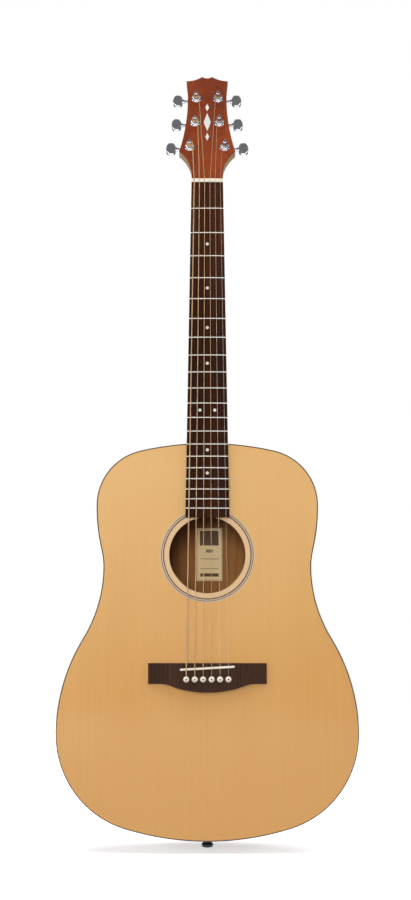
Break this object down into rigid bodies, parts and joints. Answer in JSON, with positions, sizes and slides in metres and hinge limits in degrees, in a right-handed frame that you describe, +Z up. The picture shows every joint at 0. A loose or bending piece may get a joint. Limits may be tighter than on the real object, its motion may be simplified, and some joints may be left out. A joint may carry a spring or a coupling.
{
  "type": "acoustic guitar",
  "caption": "Flat-top steel-string acoustic guitar with a dreadnought body, round soundhole, pinned bridge and geared tuners on a tilted headstock.",
  "frame": {"origin": "where the nut meets the fretboard, on the centre line, in the neck's glue plane; the neck is carried there by a wall hanger", "axes": "+Z up the neck toward the headstock, -Y out of the soundboard, +X toward the treble side"},
  "size_m": [0.3874, 0.1327, 1.0563],
  "materials": {
    "spruce": "satin lacquer, fine straight grain",
    "body_wood": "gloss lacquer, dark reddish brown",
    "inner_wood": "bare wood",
    "binding": "polished",
    "pale_inlay": "under lacquer",
    "dark_inlay": "under lacquer",
    "neck_wood": "satin lacquer",
    "head_veneer": "gloss lacquer",
    "rosewood": "open grain, oiled",
    "fret_wire": "polished nickel silver",
    "pearl": "polished",
    "bone": "polished",
    "chrome": "mirror polish",
    "black_steel": "satin",
    "plain_steel": "bright wire",
    "bronze_wire": "wound bronze",
    "black_plastic": "polished",
    "paper": "aged paper"
  },
  "bodies": {
    "instrument": {"soundboard": "spruce", "rosette_pale_rings": "pale_inlay", "rosette_dark_rings": "dark_inlay", "left_side": "body_wood", "right_side": "body_wood", "back_plate": "body_wood", "top_binding": "binding", "back_binding": "binding", "end_blocks": "inner_wood", "linings": "inner_wood", "top_braces": "inner_wood", "back_braces": "inner_wood", "bridge_plate": "rosewood", "label": "paper", "end_pin": "black_plastic", "neck": "neck_wood", "heel_cap": "rosewood", "headstock_overlay": "head_veneer", "headstock_inlay": "pearl", "fretboard": "rosewood", "frets": "fret_wire", "position_dots": "pearl", "nut": "bone", "bridge": "rosewood", "saddle": "bone", "tuner_housings": "chrome", "tuner_bushings": "chrome", "truss_rod": "black_steel", "truss_rod_filler": "neck_wood", "string_1": "plain_steel", "string_2": "plain_steel", "string_3": "bronze_wire", "string_4": "bronze_wire", "string_5": "bronze_wire", "string_6": "bronze_wire"},
    "knob_1": {"tuner_knob_1": "chrome"},
    "post_1": {"tuner_post_1": "chrome", "string_winding_1": "plain_steel"},
    "knob_2": {"tuner_knob_2": "chrome"},
    "post_2": {"tuner_post_2": "chrome", "string_winding_2": "plain_steel"},
    "knob_3": {"tuner_knob_3": "chrome"},
    "post_3": {"tuner_post_3": "chrome", "string_winding_3": "bronze_wire"},
    "knob_4": {"tuner_knob_4": "chrome"},
    "post_4": {"tuner_post_4": "chrome", "string_winding_4": "bronze_wire"},
    "knob_5": {"tuner_knob_5": "chrome"},
    "post_5": {"tuner_post_5": "chrome", "string_winding_5": "bronze_wire"},
    "knob_6": {"tuner_knob_6": "chrome"},
    "post_6": {"tuner_post_6": "chrome", "string_winding_6": "bronze_wire"},
    "pin_1": {"bridge_pin_1": "bone"},
    "pin_2": {"bridge_pin_2": "bone"},
    "pin_3": {"bridge_pin_3": "bone"},
    "pin_4": {"bridge_pin_4": "bone"},
    "pin_5": {"bridge_pin_5": "bone"},
    "pin_6": {"bridge_pin_6": "bone"},
    "truss_nut": {"truss_rod_nut": "black_steel"}
  },
  "joints": [
    {"name": "knob_1_turn", "type": "hinge", "parent": "instrument", "child": "knob_1", "pos_m": [0.0242, 0.03224, 0.06242], "axis": [1, 0, 0], "continuous": true},
    {"name": "post_1_turn", "type": "hinge", "parent": "instrument", "child": "post_1", "pos_m": [0.0242, 0.01219, 0.05781], "axis": [0, -0.9744, 0.225], "continuous": true},
    {"name": "knob_2_turn", "type": "hinge", "parent": "instrument", "child": "knob_2", "pos_m": [0.0169, 0.04135, 0.10188], "axis": [1, 0, 0], "continuous": true},
    {"name": "post_2_turn", "type": "hinge", "parent": "instrument", "child": "post_2", "pos_m": [0.0169, 0.0213, 0.09727], "axis": [0, -0.9744, 0.225], "continuous": true},
    {"name": "knob_3_turn", "type": "hinge", "parent": "instrument", "child": "knob_3", "pos_m": [0.0152, 0.05051, 0.14154], "axis": [1, 0, 0], "continuous": true},
    {"name": "post_3_turn", "type": "hinge", "parent": "instrument", "child": "post_3", "pos_m": [0.0152, 0.03046, 0.13693], "axis": [0, -0.9744, 0.225], "continuous": true},
    {"name": "knob_4_turn", "type": "hinge", "parent": "instrument", "child": "knob_4", "pos_m": [-0.0152, 0.05051, 0.14154], "axis": [-1, 0, 0], "continuous": true},
    {"name": "post_4_turn", "type": "hinge", "parent": "instrument", "child": "post_4", "pos_m": [-0.0152, 0.03046, 0.13693], "axis": [0, -0.9744, 0.225], "continuous": true},
    {"name": "knob_5_turn", "type": "hinge", "parent": "instrument", "child": "knob_5", "pos_m": [-0.0169, 0.04135, 0.10188], "axis": [-1, 0, 0], "continuous": true},
    {"name": "post_5_turn", "type": "hinge", "parent": "instrument", "child": "post_5", "pos_m": [-0.0169, 0.0213, 0.09727], "axis": [0, -0.9744, 0.225], "continuous": true},
    {"name": "knob_6_turn", "type": "hinge", "parent": "instrument", "child": "knob_6", "pos_m": [-0.0242, 0.03224, 0.06242], "axis": [-1, 0, 0], "continuous": true},
    {"name": "post_6_turn", "type": "hinge", "parent": "instrument", "child": "post_6", "pos_m": [-0.0242, 0.01219, 0.05781], "axis": [0, -0.9744, 0.225], "continuous": true},
    {"name": "pin_1_pull", "type": "slide", "parent": "instrument", "child": "pin_1", "axis": [0, -1, 0], "range_m": [0, 0.03]},
    {"name": "pin_2_pull", "type": "slide", "parent": "instrument", "child": "pin_2", "axis": [0, -1, 0], "range_m": [0, 0.03]},
    {"name": "pin_3_pull", "type": "slide", "parent": "instrument", "child": "pin_3", "axis": [0, -1, 0], "range_m": [0, 0.03]},
    {"name": "pin_4_pull", "type": "slide", "parent": "instrument", "child": "pin_4", "axis": [0, -1, 0], "range_m": [0, 0.03]},
    {"name": "pin_5_pull", "type": "slide", "parent": "instrument", "child": "pin_5", "axis": [0, -1, 0], "range_m": [0, 0.03]},
    {"name": "pin_6_pull", "type": "slide", "parent": "instrument", "child": "pin_6", "axis": [0, -1, 0], "range_m": [0, 0.03]},
    {"name": "truss_nut_turn", "type": "hinge", "parent": "instrument", "child": "truss_nut", "pos_m": [0, 0.0078, -0.432], "axis": [0, 0, 1], "range_deg": [-360, 360]}
  ],
  "couplings": [
    {"joint": "post_1_turn", "follows": "knob_1_turn", "ratio": 0.071429},
    {"joint": "post_2_turn", "follows": "knob_2_turn", "ratio": 0.071429},
    {"joint": "post_3_turn", "follows": "knob_3_turn", "ratio": 0.071429},
    {"joint": "post_4_turn", "follows": "knob_4_turn", "ratio": 0.071429},
    {"joint": "post_5_turn", "follows": "knob_5_turn", "ratio": 0.071429},
    {"joint": "post_6_turn", "follows": "knob_6_turn", "ratio": 0.071429}
  ]
}
